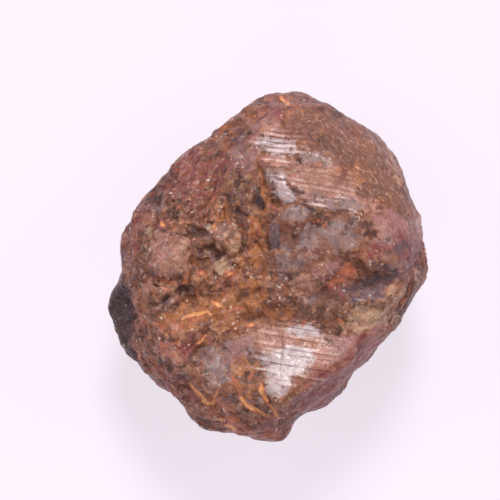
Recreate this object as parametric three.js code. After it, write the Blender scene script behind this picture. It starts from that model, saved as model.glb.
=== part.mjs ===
// A rough star ruby: one broken and weathered piece of corundum, about 28 x 31 x 19 mm.
// Millimetres, +Z up. The stone lies on a flat parting face at z = 0, and its best side looks up.
// The origin is on that face, under the middle of the stone.
//
// The skin is where stoneField(p) is zero. The field cuts flat parting faces, each at its own tilt, into four
// masses, closes them inside the rim outline and the broken side faces, and adds hollows and swellings.
// A geodesic sphere is drawn onto that skin along rays from a point inside the stone.

import * as THREE from 'three';
import { mergeVertices } from 'three/addons/utils/BufferGeometryUtils.js';
import { ImprovedNoise } from 'three/addons/math/ImprovedNoise.js';

// ---------------------------------------------------------------- driving dimensions, mm and degrees
const girdleHeight = 8.4;          // middle height of the widest part, which wanders up and down the sides
const girdleSwing = 1.3;           // how far it wanders, twice round the stone
const girdlePhase = 50;
const crownReach = 15.0;           // how far above the girdle the side wall would close
const baseReach = 11.0;            // how far below the girdle the side wall would close
const crownFullness = 2.3;         // 2 is an ellipse, and more is squarer
const baseFullness = 2.2;
const rimFade = 5.0;               // how far from the girdle the rim's notches die away
const rimSmoothing = 20;           // compass angle that the smoothed rim is averaged over, each way
const seamWidth = 0.5;             // how softly two broken faces meet
const shoulderWidth = 0.8;         // and how softly the upper side meets the side wall
const reliefSteepness = 0.85;      // keeps the field's slope near 1 over the tilted faces

// The rim, seen from above, anticlockwise from the right. Each pair is x, y.
const rimOutline = [
  [14.0, 0.3], [13.6, 2.1], [13.7, 4.4], [12.9, 6.2], [12.3, 8.4], [11.3, 9.8], [10.3, 11.3], [8.6, 12.7],
  [6.3, 13.9], [4.4, 15.0], [2.6, 15.5], [-0.2, 15.5], [-1.2, 15.2], [-1.9, 14.5], [-3.4, 13.0], [-5.6, 11.4],
  [-8.1, 9.6], [-9.7, 7.9], [-10.9, 6.0], [-12.4, 4.1], [-13.0, 2.3], [-13.0, 0.1], [-13.3, -1.6],
  [-14.0, -3.3], [-13.7, -4.9], [-13.1, -6.5], [-12.6, -7.6], [-11.1, -9.3], [-9.6, -10.7], [-8.1, -11.6],
  [-7.1, -12.7], [-6.1, -13.8], [-3.6, -14.9], [-0.8, -15.4], [1.1, -15.6], [1.7, -15.3], [2.1, -13.9],
  [2.5, -13.0], [4.7, -12.2], [6.6, -11.1], [7.4, -9.5], [9.1, -8.0], [10.1, -6.3], [11.6, -4.4],
  [13.1, -2.6], [13.9, -0.9],
];

const radians = THREE.MathUtils.degToRad;

// A flat face of the upper side: a point on it, the compass angle it falls towards, and how steeply.
function face(x, y, z, towards, slope) {
  const fall = Math.tan(radians(slope));
  const east = Math.cos(radians(towards)) * fall;
  const north = Math.sin(radians(towards)) * fall;
  return { east, north, height: z + x * east + y * north };
}
const rightMass = {
  seam: 0.5,
  faces: [
    face(0.8, 10.9, 18.2, 84, 20),      // striated crown face
    face(4.4, 7.2, 17.9, 76, 16),       // streaked face below it
    face(6.6, 8.4, 17.3, 40, 31),       // smooth slope to the upper right
    face(-1.8, 10.9, 17.6, 168, 46),    // flank at the upper left
    face(-0.1, 6.4, 18.4, 200, 52),     // step down to the left-hand trough
    face(-0.2, 0.4, 17.0, 186, 36),
    face(1.0, 3.4, 18.0, 262, 13),      // breast, down towards the valley
    face(8.2, 4.2, 16.8, 354, 20),      // swelling on the right
    face(9.0, -0.3, 15.1, 290, 62),     // wall over the right-hand recess
  ],
};
const leftMass = {
  seam: 0.9,
  faces: [
    face(-7.0, 1.0, 14.9, 186, 17),     // wide rough face
    face(-6.8, 9.4, 14.2, 134, 38),     // flank at the upper left
    face(-10.2, -8.6, 13.1, 226, 34),   // lower left shoulder
    face(-4.0, -5.6, 15.1, 262, 18),
  ],
};
const lowerMass = {
  seam: 0.5,
  faces: [
    face(1.5, -7.6, 16.3, 84, 19),      // striated lower face, parallel to the crown face
    face(-4.6, -8.0, 15.5, 158, 16),
    face(4.6, -9.2, 16.9, 314, 43),     // broken wall to the lower right
    face(7.9, -5.6, 15.2, 8, 34),
    face(-3.0, -10.6, 16.2, 236, 24),
    face(0.6, -13.0, 15.5, 262, 46),    // down onto the neck
  ],
};
const rightShelf = {
  seam: 0.8,
  faces: [
    face(9.8, -3.4, 12.9, 336, 13),
    face(8.0, -9.2, 11.6, 312, 34),
  ],
};
const joinWidths = { left: 0.6, lower: 1.6, shelf: 0.6 };

// A hollow or a swelling of the upper side: centre, half length, half width, height, and compass angle.
const relief = (x, y, long, wide, height, turn = 0) => ({ x, y, long, wide, height, turn: radians(turn) });
const reliefs = [
  relief(9.4, -1.2, 3.6, 1.6, -1.2, 19),      // shaded recess on the right
  relief(-0.3, 6.6, 2.1, 1.2, -0.6, 105),     // groove beside the pale facet
  relief(-1.2, 5.2, 1.7, 1.3, -0.6, 60),
  relief(-2.7, 3.6, 1.6, 1.2, -0.6, 30),
  relief(-1.2, 1.0, 2.4, 1.2, -0.6, 78),
  relief(-6.4, 3.8, 1.7, 1.2, -0.7, -20),
  relief(-4.7, 1.0, 1.6, 1.2, -0.6, 20),
  relief(-7.2, -2.4, 1.6, 1.2, -0.6),
  relief(-9.4, -3.0, 1.4, 1.2, -0.4),
  relief(-6.2, 0.7, 2.0, 1.1, -0.4, 90),
  relief(-2.0, -4.6, 2.6, 1.2, -0.3, 12),
  relief(-8.6, 1.4, 2.7, 2.4, 0.9, 20),       // swellings of the rough face
  relief(-3.7, 3.0, 1.9, 1.7, 0.6),
  relief(-5.8, 6.4, 2.4, 2.0, 0.5, 40),
  relief(-7.9, 8.2, 2.0, 1.5, 0.4, 50),
  relief(-1.8, -1.2, 1.9, 1.6, 0.5),
  relief(-5.8, -1.5, 1.6, 1.4, 0.6),
  relief(-9.6, -5.4, 2.4, 2.0, 0.5, 70),
  relief(1.0, 7.0, 2.1, 1.2, 0.35, 120),      // the pale facet's raised plate
  relief(2.2, 4.0, 1.7, 1.5, 0.4),
  relief(11.0, 3.4, 3.0, 2.4, 0.6, 60),       // bulge over the recess
  relief(4.4, -0.6, 2.6, 1.7, 0.35, 10),
  relief(-5.8, -9.2, 2.2, 1.7, 0.4, 30),
];

// A scoop through the side: centre, half sizes, and how softly its edge is rounded.
const scoops = [
  { x: -14.5, y: -4.2, z: 14.9, a: 3.3, b: 4.0, c: 5.0, edge: 0.35 },     // ledge over the dark nub
  { x: -9.6, y: 13.2, z: 12.0, a: 3.2, b: 2.4, c: 2.2, edge: 0.6 },
  { x: 6.8, y: -13.6, z: 4.6, a: 4.2, b: 2.6, c: 2.4, edge: 0.6 },
  { x: 15.8, y: 5.4, z: 3.2, a: 3.0, b: 4.0, c: 2.6, edge: 0.6 },
];

// A broken face of the side: the compass angle it looks to, how far it looks up or down, and the height at
// which it touches the rim.
function side(looks, lean, touches) {
  const across = Math.cos(radians(lean));
  const east = Math.cos(radians(looks)) * across;
  const north = Math.sin(radians(looks)) * across;
  const up = Math.sin(radians(lean));
  const rim = Math.max(...rimOutline.map(([x, y]) => x * east + y * north));
  return { east, north, up, reach: rim + touches * up + seamWidth / 2 };
}
const sides = [
  side(10, 16, 9.6), side(46, 14, 10.8), side(84, 28, 11.0), side(131, 40, 10.2), side(170, 32, 10.8),
  side(212, 36, 9.8), side(242, 30, 9.4), side(312, 20, 8.6), side(342, 26, 10.8),
  side(30, 48, 12.9), side(64, 44, 13.0),
  side(28, -36, 7.6), side(70, -48, 8.4), side(112, -30, 7.4), side(150, -52, 6.8), side(186, -34, 7.0),
  side(224, -46, 7.8), side(262, -32, 8.6), side(300, -50, 8.8), side(334, -38, 6.6), side(2, -46, 7.4),
];

// Roughness: each octave's wavelength and height.
const grainOctaves = [
  { wave: 5.6, height: 0.42 },
  { wave: 2.6, height: 0.24 },
  { wave: 1.4, height: 0.12 },
];
// Fracture: the skin is broken into cells, each a small plane with a tilt and a level of its own.
const fracture = { cell: 3.6, tilt: 0.28, step: 0.24, blend: 0.30, reach: 8 };
const crownFracture = 0.6;         // share of the fracture that is left on the upper side
const wallStart = -0.3;            // how far past the upper side's edge the roughness starts to turn
const wallEnd = 1.5;               // to the wall's, and where it has turned
const massFade = 1.0;              // height over which the rough mass turns calm where another mass covers it
const crownCalm = 0.20;            // share of all roughness that is left on the calm masses
const rimCalm = 0.55;              // share of all roughness that is left on the rim itself
const rimCalmInset = 1.3;          // and how far inside the rim the roughness is whole again
const rimTrim = 0.12;              // drawn in on the rim, so that its high spots reach the outline
const skinDepth = 2.5;             // roughness is only worked out this near to the skin

// The geodesic sphere and the search along each ray.
const heart = new THREE.Vector3(0, -0.4, 8.0);   // the point inside that the rays start from
const sphereDetail = 19;           // splits of each icosahedron edge, less one
const mergeTolerance = 1e-5;
const relaxRounds = 14;
const relaxShare = 0.6;
const searchReach = 22;
const searchMargin = 1.6;
const searchStep = 0.4;
const halvings = 12;

// ---------------------------------------------------------------- the field
// Smooth minimum and maximum: k is the width of the blend.
function softMin(a, b, k) {
  const h = Math.max(k - Math.abs(a - b), 0) / k;
  return Math.min(a, b) - h * h * k / 4;
}
const softMax = (a, b, k) => -softMin(-a, -b, k);

function massHeight({ seam, faces }, x, y) {
  let lowest = Infinity;
  for (const { east, north, height } of faces) {
    const z = height - x * east - y * north;
    lowest = lowest === Infinity ? z : softMin(lowest, z, seam);
  }
  return lowest;
}

// The upper side's height, and how rough it is there: the left-hand mass is rough and the others are calm.
function crownAt(x, y) {
  const left = massHeight(leftMass, x, y);
  let z = massHeight(rightMass, x, y);
  z = softMax(z, massHeight(lowerMass, x, y), joinWidths.lower);
  z = softMax(z, massHeight(rightShelf, x, y), joinWidths.shelf);
  const rough = THREE.MathUtils.lerp(crownCalm, 1, THREE.MathUtils.smoothstep(left - z, -massFade, massFade));
  z = softMax(z, left, joinWidths.left);
  for (const r of reliefs) {
    const [dx, dy] = [x - r.x, y - r.y];
    const along = (dx * Math.cos(r.turn) + dy * Math.sin(r.turn)) / r.long;
    const across = (dy * Math.cos(r.turn) - dx * Math.sin(r.turn)) / r.wide;
    const inside = 1 - along * along - across * across;
    if (inside > 0) z += r.height * inside * inside;
  }
  return { height: z, rough };
}

// The rim's distance from the axis in even steps of compass angle: as drawn, and smoothed for the heights
// above and below the girdle.
const rimSteps = 720;
const fullyNarrowed = 0.999;       // the wall stops just short of closing on the axis
const rimExact = Array.from({ length: rimSteps }, (_, step) => {
  const angle = 2 * Math.PI * step / rimSteps;
  const [c, s] = [Math.cos(angle), Math.sin(angle)];
  let reach = 0;
  rimOutline.forEach(([ax, ay], i) => {
    const [bx, by] = rimOutline[(i + 1) % rimOutline.length];
    const [fromSide, toSide] = [c * ay - s * ax, c * by - s * bx];
    const crossing = (ax * by - ay * bx) / (toSide - fromSide);
    if (fromSide <= 0 && toSide > 0 && crossing > 0) reach = crossing;
  });
  return reach;
});
const rimWindow = Math.round(rimSmoothing * rimSteps / 360);
const rimSmooth = rimExact.map((exact, step) => {
  let sum = 0;
  for (let k = -rimWindow; k <= rimWindow; k++) sum += rimExact[(step + k + rimSteps) % rimSteps];
  return sum / (2 * rimWindow + 1);
});

function sideWall(x, y, z) {
  const angle = Math.atan2(y, x);
  const turn = (angle / (2 * Math.PI) + 1) % 1 * rimSteps;
  const step = Math.floor(turn) % rimSteps;
  const share = turn - Math.floor(turn);
  const exact = rimExact[step] * (1 - share) + rimExact[(step + 1) % rimSteps] * share;

  const rise = z - girdleHeight - girdleSwing * Math.sin(2 * angle + radians(girdlePhase));
  const reach = rise > 0 ? crownReach : baseReach;
  const fullness = rise > 0 ? crownFullness : baseFullness;
  const t = Math.min(Math.abs(rise) / reach, fullyNarrowed);
  const narrowing = Math.pow(1 - Math.pow(t, fullness), 1 / fullness);
  const fade = Math.min(Math.abs(rise) / rimFade, 1);
  const radius = exact * (1 - fade) + rimSmooth[step] * fade;
  let wall = Math.hypot(x, y) - Math.min(radius * narrowing, exact);
  for (const f of sides) wall = softMax(wall, x * f.east + y * f.north + z * f.up - f.reach, seamWidth);
  return { wall, inset: exact - radius * narrowing };
}

function scoopField(x, y, z, { x: cx, y: cy, z: cz, a, b, c }) {
  return (Math.hypot((x - cx) / a, (y - cy) / b, (z - cz) / c) - 1) * Math.min(a, b, c);
}

const noise = new ImprovedNoise();
const grainShift = { x: 11.3, y: 5.7, z: 2.1 };      // keeps the octaves from lining up
function grain(x, y, z) {
  let sum = 0;
  grainOctaves.forEach(({ wave, height }, i) => {
    const [atX, atY] = [x / wave + grainShift.x * (i + 1), y / wave + grainShift.y * i];
    sum += height * noise.noise(atX, atY, z / wave + grainShift.z);
  });
  return sum;
}

// A repeatable number from -1 to 1 for a cell of space, and that cell's centre, tilt and level.
const hashWeights = [127.1, 311.7, 74.7, 53.3];
const hashScale = 43758.5453;
function cellRandom(...place) {
  const sum = place.reduce((total, value, i) => total + value * hashWeights[i], 0);
  const h = Math.sin(sum) * hashScale;
  return (h - Math.floor(h)) * 2 - 1;
}
const cells = new Map();
function cellAt(i, j, k) {
  const key = `${i} ${j} ${k}`;
  if (!cells.has(key)) {
    const [x, y, z, east, north, up, level] = [1, 2, 3, 4, 5, 6, 7].map((n) => cellRandom(i, j, k, n));
    cells.set(key, {
      x: (i + 0.5 + x / 2) * fracture.cell,
      y: (j + 0.5 + y / 2) * fracture.cell,
      z: (k + 0.5 + z / 2) * fracture.cell,
      east: east * fracture.tilt,
      north: north * fracture.tilt,
      up: up * fracture.tilt,
      level: level * fracture.step,
    });
  }
  return cells.get(key);
}
const cellsAround = 27;            // a cell and all that touch it
const distances = new Array(cellsAround);
const around = new Array(cellsAround);
function fractureField(x, y, z) {
  const [ci, cj, ck] = [x, y, z].map((value) => Math.floor(value / fracture.cell));
  let nearest = Infinity;
  let n = 0;
  for (let i = ci - 1; i <= ci + 1; i++)
    for (let j = cj - 1; j <= cj + 1; j++)
      for (let k = ck - 1; k <= ck + 1; k++) {
        const cell = cellAt(i, j, k);
        const distance = Math.hypot(x - cell.x, y - cell.y, z - cell.z);
        nearest = Math.min(nearest, distance);
        distances[n] = distance;
        around[n++] = cell;
      }
  let sum = 0;
  let total = 0;
  for (n = 0; n < cellsAround; n++) {
    const beyond = (distances[n] - nearest) / fracture.blend;
    if (beyond > fracture.reach) continue;
    const share = Math.exp(-beyond);
    const cell = around[n];
    const [dx, dy, dz] = [x - cell.x, y - cell.y, z - cell.z];
    sum += share * (cell.east * dx + cell.north * dy + cell.up * dz + cell.level);
    total += share;
  }
  return sum / total;
}

function stoneField({ x, y, z }) {
  const { height, rough } = crownAt(x, y);
  const crown = (z - height) * reliefSteepness;
  const { wall, inset } = sideWall(x, y, z);
  let d = softMax(crown, wall, shoulderWidth);
  for (const scoop of scoops) d = softMax(d, -scoopField(x, y, z, scoop), scoop.edge);
  if (Math.abs(d) < skinDepth) {
    const onWall = THREE.MathUtils.smoothstep(wall - crown, wallStart, wallEnd);
    const offRim = THREE.MathUtils.smoothstep(inset, 0, rimCalmInset);
    const onRim = onWall * (1 - offRim);
    const calm = THREE.MathUtils.lerp(rough, 1, onWall) * THREE.MathUtils.lerp(1, rimCalm, onRim);
    d += calm * (grain(x, y, z) + fractureField(x, y, z) * THREE.MathUtils.lerp(crownFracture, 1, onWall));
    d += rimTrim * onRim;
  }
  return Math.max(d, -z);
}

// ---------------------------------------------------------------- the skin
// The outermost point where a ray from the heart leaves the stone.
const probe = new THREE.Vector3();
function surfaceAlong(direction, from) {
  const fieldAt = (reach) => stoneField(probe.copy(direction).multiplyScalar(reach).add(heart));
  let outside = from;
  while (outside > searchStep && fieldAt(outside - searchStep) > 0) outside -= searchStep;
  let inside = outside - searchStep;
  for (let i = 0; i < halvings; i++) {
    const middle = (inside + outside) / 2;
    if (fieldAt(middle) > 0) outside = middle;
    else inside = middle;
  }
  return direction.clone().multiplyScalar(inside).add(heart);
}

function stoneGeometry() {
  const sphere = new THREE.IcosahedronGeometry(1, sphereDetail);
  sphere.deleteAttribute('uv');
  sphere.deleteAttribute('normal');
  const geometry = mergeVertices(sphere, mergeTolerance);
  const position = geometry.getAttribute('position');
  const index = geometry.getIndex();

  const neighbours = Array.from({ length: position.count }, () => new Set());
  for (let i = 0; i < index.count; i += 3) {
    const corners = [index.getX(i), index.getX(i + 1), index.getX(i + 2)];
    for (const a of corners)
      for (const b of corners)
        if (a !== b) neighbours[a].add(b);
  }

  let points = neighbours.map((_, i) =>
    surfaceAlong(new THREE.Vector3().fromBufferAttribute(position, i).normalize(), searchReach));
  // evens out the triangles: each ray swings towards the middle of its neighbours
  for (let round = 0; round < relaxRounds; round++) {
    points = points.map((p, i) => {
      const middle = new THREE.Vector3();
      for (const j of neighbours[i]) middle.add(points[j]);
      middle.divideScalar(neighbours[i].size);
      const aim = p.clone().lerp(middle, relaxShare).sub(heart).normalize();
      return surfaceAlong(aim, p.distanceTo(heart) + searchMargin);
    });
  }
  points.forEach((p, i) => position.setXYZ(i, p.x, p.y, p.z));
  return geometry;
}

const skin = stoneGeometry();
skin.computeBoundingBox();
const middle = skin.boundingBox.getCenter(new THREE.Vector3());
skin.translate(-middle.x, -middle.y, -skin.boundingBox.min.z);

const rubyMaterial = new THREE.MeshStandardMaterial({ color: 0x85584c, roughness: 0.55, metalness: 0 });
const roughRuby = new THREE.Mesh(skin, rubyMaterial);
roughRuby.name = 'rough_ruby';
const stone = new THREE.Group();
stone.add(roughRuby);

export default stone;
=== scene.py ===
import itertools
import math

import bpy
import numpy as np
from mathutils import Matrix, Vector
from mathutils.bvhtree import BVHTree


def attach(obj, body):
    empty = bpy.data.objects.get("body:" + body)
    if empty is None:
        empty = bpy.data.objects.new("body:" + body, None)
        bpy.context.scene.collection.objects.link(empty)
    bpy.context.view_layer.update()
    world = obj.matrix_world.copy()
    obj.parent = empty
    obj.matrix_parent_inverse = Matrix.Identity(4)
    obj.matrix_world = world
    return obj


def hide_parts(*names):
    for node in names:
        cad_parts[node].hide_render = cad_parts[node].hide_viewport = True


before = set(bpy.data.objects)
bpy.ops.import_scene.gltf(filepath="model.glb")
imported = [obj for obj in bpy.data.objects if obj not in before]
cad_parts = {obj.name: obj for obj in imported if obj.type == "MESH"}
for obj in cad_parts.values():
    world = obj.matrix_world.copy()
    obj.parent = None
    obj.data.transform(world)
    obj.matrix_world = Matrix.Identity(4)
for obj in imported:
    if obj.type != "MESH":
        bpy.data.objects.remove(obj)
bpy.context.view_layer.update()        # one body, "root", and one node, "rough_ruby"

mm = 0.001
scene = bpy.context.scene

# Places on the stone are in mm from the middle of its outline drawing, x to the right and y up the stone.
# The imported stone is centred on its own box, which moves that middle a little.
drawingShift = (0.075, -0.209, 0.0)


# Camera, light and floor
view = {
    "centre": (-1.55, 1.42),     # mm, what the middle of the frame looks at
    "rimHeight": 9.0,            # mm, the height that the scale holds for
    "field": 44.0,               # mm across the frame at that height
    "lens": 300.0,               # mm
    "sensor": 36.0,              # mm
    "clip": (0.01, 20),          # m
}


def makeCamera(plan):
    camera = bpy.data.cameras.new("overhead_camera")
    camera.lens = plan["lens"]
    camera.sensor_width = plan["sensor"]
    camera.clip_start, camera.clip_end = plan["clip"]
    holder = bpy.data.objects.new("overhead_camera", camera)
    height = plan["rimHeight"] + plan["field"] * plan["lens"] / plan["sensor"]
    holder.location = (plan["centre"][0] * mm, plan["centre"][1] * mm, height * mm)
    scene.collection.objects.link(holder)
    scene.camera = holder


# turn is the compass side that a light comes from, and tilt its angle off straight down
studio = {
    "lights": {
        "soft_key": {"turn": 86, "tilt": 40, "softness": 18, "strength": 2.5, "colour": (1, 0.985, 0.97)},
        "left_light": {"turn": 170, "tilt": 56, "softness": 50, "strength": 0.85, "colour": (0.99, 0.98, 1)},
        "right_light": {"turn": 12, "tilt": 56, "softness": 50, "strength": 0.85, "colour": (1, 0.98, 0.98)},
        "front_light": {"turn": 268, "tilt": 58, "softness": 60, "strength": 0.65, "colour": (1, .98, .98)},
    },
    "surround": (0.93, 0.875, 0.96),
    "surroundStrength": 0.20,
    "backdrop": (0.97, 0.90, 0.97),
}


def leaning(turn, tilt):         # the direction that leans by tilt off straight up, towards turn
    turn, tilt = math.radians(turn), math.radians(tilt)
    return math.cos(turn) * math.sin(tilt), math.sin(turn) * math.sin(tilt), math.cos(tilt)


def makeLight(name, plan):
    lamp = bpy.data.lights.new(name, "SUN")
    lamp.energy = plan["strength"]
    lamp.color = plan["colour"]
    lamp.angle = math.radians(plan["softness"])
    holder = bpy.data.objects.new(name, lamp)
    comesFrom = Vector(leaning(plan["turn"], plan["tilt"]))
    holder.rotation_euler = comesFrom.to_track_quat("Z", "Y").to_euler()
    scene.collection.objects.link(holder)


def makeStudio(plan):
    for name, light in plan["lights"].items():
        makeLight(name, light)
    world = bpy.data.worlds.new("pale_room")
    world.use_nodes = True
    nodes, links = world.node_tree.nodes, world.node_tree.links
    sky = nodes["Background"]
    sky.inputs["Color"].default_value = (*plan["surround"], 1)
    sky.inputs["Strength"].default_value = plan["surroundStrength"]
    backdrop = nodes.new("ShaderNodeBackground")     # what is seen behind the floor, which lights nothing
    backdrop.inputs["Color"].default_value = (*plan["backdrop"], 1)
    seen, mix = nodes.new("ShaderNodeLightPath"), nodes.new("ShaderNodeMixShader")
    for start, end in ((seen.outputs["Is Camera Ray"], mix.inputs[0]), (sky.outputs[0], mix.inputs[1]),
                       (backdrop.outputs[0], mix.inputs[2]),
                       (mix.outputs[0], nodes["World Output"].inputs[0])):
        links.new(start, end)
    scene.world = world
    scene.view_settings.view_transform = "Standard"
    scene.view_settings.look = "None"


floorPlan = {"reach": 6.0, "colour": (0.27, 0.24, 0.28), "glow": (0.69, 0.64, 0.70)}      # reach in m


def makeFloor(plan):
    reach = plan["reach"]
    mesh = bpy.data.meshes.new("floor")
    mesh.from_pydata([(-reach, -reach, 0), (reach, -reach, 0), (reach, reach, 0), (-reach, reach, 0)],
                     [], [(0, 1, 2, 3)])
    floor = bpy.data.objects.new("floor", mesh)
    scene.collection.objects.link(floor)
    paper = bpy.data.materials.new("pale_paper")
    paper.use_nodes = True
    shader = paper.node_tree.nodes["Principled BSDF"]
    shader.inputs["Base Color"].default_value = (*plan["colour"], 1)
    shader.inputs["Emission Color"].default_value = (*plan["glow"], 1)
    shader.inputs["Emission Strength"].default_value = 1.0
    shader.inputs["Roughness"].default_value = 1.0
    shader.inputs["Specular IOR Level"].default_value = 0.0
    mesh.materials.append(paper)


makeCamera(view)
makeStudio(studio)
makeFloor(floorPlan)
print("camera, light and floor are ready")


# Number helpers
def smooth(low, high, value):
    t = np.clip((value - low) / (high - low), 0, 1)
    return t * t * (3 - 2 * t)


hashPrimes = (73856093, 19349663, 83492791, 2654435761)
hashMask = np.uint64(2**32 - 1)


def dice(cells, seed):            # a repeatable number from 0 to 1 for each lattice cell
    h = np.zeros(len(cells), dtype=np.uint64) + np.uint64((seed + 1) * hashPrimes[3] % 2**32)
    for axis in range(3):
        h ^= (cells[:, axis].astype(np.int64) * hashPrimes[axis]).astype(np.uint64) & hashMask
        h = (h * np.uint64(hashPrimes[3]) + np.uint64(axis + 1)) & hashMask
        h ^= h >> np.uint64(15)
    return h.astype(np.float64) / 2**32


def noise(points, wave, seed=0):  # smooth noise, about -1 to 1, on waves of that length
    seedShift, reach = 7.31, 1.9  # how far each seed moves the lattice, and what brings the noise up to 1
    spots = points / wave + seed * seedShift
    cells = np.floor(spots)
    inside = spots - cells
    ease = inside**3 * (inside * (inside * 6 - 15) + 10)
    total = np.zeros(len(points))
    for corner in itertools.product((0, 1), repeat=3):
        node = cells + corner
        away = inside - corner
        weight = np.prod(np.where(np.array(corner) == 1, ease, 1 - ease), axis=1)
        pull = sum((dice(node, seed * 3 + axis) * 2 - 1) * away[:, axis] for axis in range(3))
        total += weight * pull
    return total * reach


def roughness(points, wave, seed, octaves=2, gain=0.55):
    return sum(noise(points, wave / 2**i, seed + i) * gain**i for i in range(octaves))


def breakFaces(points, cell, tilt, step, seed, scatter=0.42, blend=0.10):
    # The rock parts into small flat faces, each at its own tilt and level. Besides the height, this gives
    # each face's own number, and how near the edge between two faces is.
    home = np.floor(points / cell)
    near, levels, names = [], [], []
    for offset in itertools.product((-1, 0, 1), repeat=3):
        node = home + offset
        shift, lean = [np.stack([dice(node, seed + first + axis) * 2 - 1 for axis in range(3)], 1)
                       for first in (0, 3)]
        away = points - (node + 0.5 + scatter * shift) * cell
        lean *= tilt
        near.append(np.linalg.norm(away, axis=1))
        levels.append((lean * away).sum(1) + (dice(node, seed + 6) * 2 - 1) * step)
        names.append(dice(node, seed + 7))
    near, levels, names = np.array(near), np.array(levels), np.array(names)
    order = np.sort(near, axis=0)
    share = np.exp(-(near - order[0]) / (blend * cell))
    height = (share * levels).sum(0) / share.sum(0)
    name = names[near.argmin(0), np.arange(len(points))]
    edge = (order[1] - order[0]) / cell
    return height, name, edge


# The skin
skinPlan = {
    "heart": (0.0, -0.4, 8.0),        # mm, in the drawing: every ray from here leaves the stone once
    "facets": 127,                    # quads along each edge of the cube that the skin starts as
    # where the quads gather: towards (x, y, z), how far round, and how strongly
    "magnets": [((0, 0, 1), 2.4, 0.30), ((0.05, 0.75, 0.66), 0.50, 0.26), ((0.12, -0.62, 0.77), 0.75, 0.26)],
    "evenings": 5,                    # rounds of evening out
    "smoothing": 2,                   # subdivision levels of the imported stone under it
    "weld": 1e-6,                     # m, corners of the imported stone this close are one
}


def smoothedCad(plan):
    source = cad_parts["rough_ruby"]
    copy = bpy.data.objects.new("stone_copy", source.data.copy())
    scene.collection.objects.link(copy)
    copy.modifiers.new("weld", "WELD").merge_threshold = plan["weld"]
    rounding = copy.modifiers.new("rounding", "SUBSURF")
    rounding.levels = rounding.render_levels = plan["smoothing"]
    result = copy.evaluated_get(bpy.context.evaluated_depsgraph_get()).to_mesh()
    corners = np.empty(len(result.vertices) * 3)
    result.vertices.foreach_get("co", corners)
    polygons = [tuple(p.vertices) for p in result.polygons]
    corners = corners.reshape(-1, 3) / mm
    bpy.data.objects.remove(copy)
    return corners, polygons


def cubeSphere(facets):               # unit directions and quads, wound to face outwards
    steps = np.tan(np.linspace(-1, 1, facets + 1) * math.pi / 4)
    u, v = [a.ravel() for a in np.meshgrid(steps, steps, indexing="ij")]
    one = np.ones_like(u)
    sheets = []
    for axis in range(3):
        for sign in (1, -1):
            sheets.append(np.roll(np.stack([one * sign, u, v * sign], 1), axis, axis=1))
    points = np.concatenate(sheets)
    points /= np.linalg.norm(points, axis=1)[:, None]
    # where two sides of the cube meet, their points are one
    _, first, back = np.unique(np.round(points, 6), axis=0, return_index=True, return_inverse=True)
    side = facets + 1
    corner = np.arange(side * facets).reshape(facets, side)[:, :facets].ravel()
    square = np.stack([corner, corner + side, corner + side + 1, corner + 1], 1)
    quads = np.concatenate([back.ravel()[square + sheet * side * side] for sheet in range(6)])
    return points[first], quads


def edgesOf(quads):
    pairs = np.concatenate([quads[:, [i, (i + 1) % 4]] for i in range(4)])
    return np.unique(np.sort(pairs, axis=1), axis=0)


def evened(values, edges, count, rounds=1):      # every value drawn to the mean of its neighbours
    values = values.reshape(count, -1)
    degree = np.bincount(edges.ravel(), minlength=count)[:, None]
    for _ in range(rounds):
        total = np.stack([np.bincount(edges[:, 0], column[edges[:, 1]], count)
                          + np.bincount(edges[:, 1], column[edges[:, 0]], count) for column in values.T], 1)
        values = (values + total / degree) / 2
    return values.squeeze()


def normalsOf(points, quads):
    a, b, c, d = [points[quads[:, i]] for i in range(4)]
    across = np.cross(c - a, d - b)
    total = np.stack([sum(np.bincount(quads[:, i], across[:, axis], len(points)) for i in range(4))
                      for axis in range(3)], 1)
    return total / np.linalg.norm(total, axis=1)[:, None]


def growSkin(plan):
    corners, polygons = smoothedCad(plan)
    surface = BVHTree.FromPolygons(corners.tolist(), polygons)
    heart = np.array(plan["heart"]) + drawingShift
    directions, quads = cubeSphere(plan["facets"])
    for towards, reach, strength in plan["magnets"]:
        towards = np.array(towards) / np.linalg.norm(towards)
        away = directions - towards
        closeness = 1 - np.clip(np.linalg.norm(away, axis=1) / reach, 0, 1)**2
        directions = towards + away * (1 - strength * closeness**2)[:, None]
        directions /= np.linalg.norm(directions, axis=1)[:, None]
    edges = edgesOf(quads)
    start = Vector(heart)

    def cast(aims):
        return np.array([surface.ray_cast(start, Vector(aim))[0] for aim in aims])

    points = cast(directions)
    for _ in range(plan["evenings"]):
        aims = evened(points, edges, len(points)) - heart
        points = cast(aims / np.linalg.norm(aims, axis=1)[:, None])
    return points, quads, edges


base, quads, edges = growSkin(skinPlan)
normals = normalsOf(base, quads)
print("skin grown:", len(base), "points,", len(quads), "quads")


# Where things are on the stone
placing = {
    "lift": (0.15, 1.2),             # mm: nothing moves on the flat face that the stone rests on
    "facing": (-0.10, 0.25),         # the upper side starts where the skin faces up this far
    "height": (3.0, 6.0),            # and lies this high, in mm
    "waves": (1.9, 0.7),             # mm, the long and the short waves that places wander on
    "wander": (20, 0.30, 0.12),      # seed, and how far in mm on each wave
    "wanderFine": (40, 0.10, 0.06),
}
drawn = base - np.array(drawingShift)                 # places as the drawing gives them
lift = smooth(*placing["lift"], base[:, 2])
upper = smooth(*placing["facing"], normals[:, 2]) * smooth(*placing["height"], base[:, 2])


def ragged(seed, far, near):                          # the drawing's places, wandering a little
    long, short = placing["waves"]
    moves = [noise(base, long, seed + a) * far + noise(base, short, seed + 9 + a) * near for a in range(2)]
    return drawn[:, :2] + np.stack(moves, 1)


wander = ragged(*placing["wander"])
wanderFine = ragged(*placing["wanderFine"])


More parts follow.
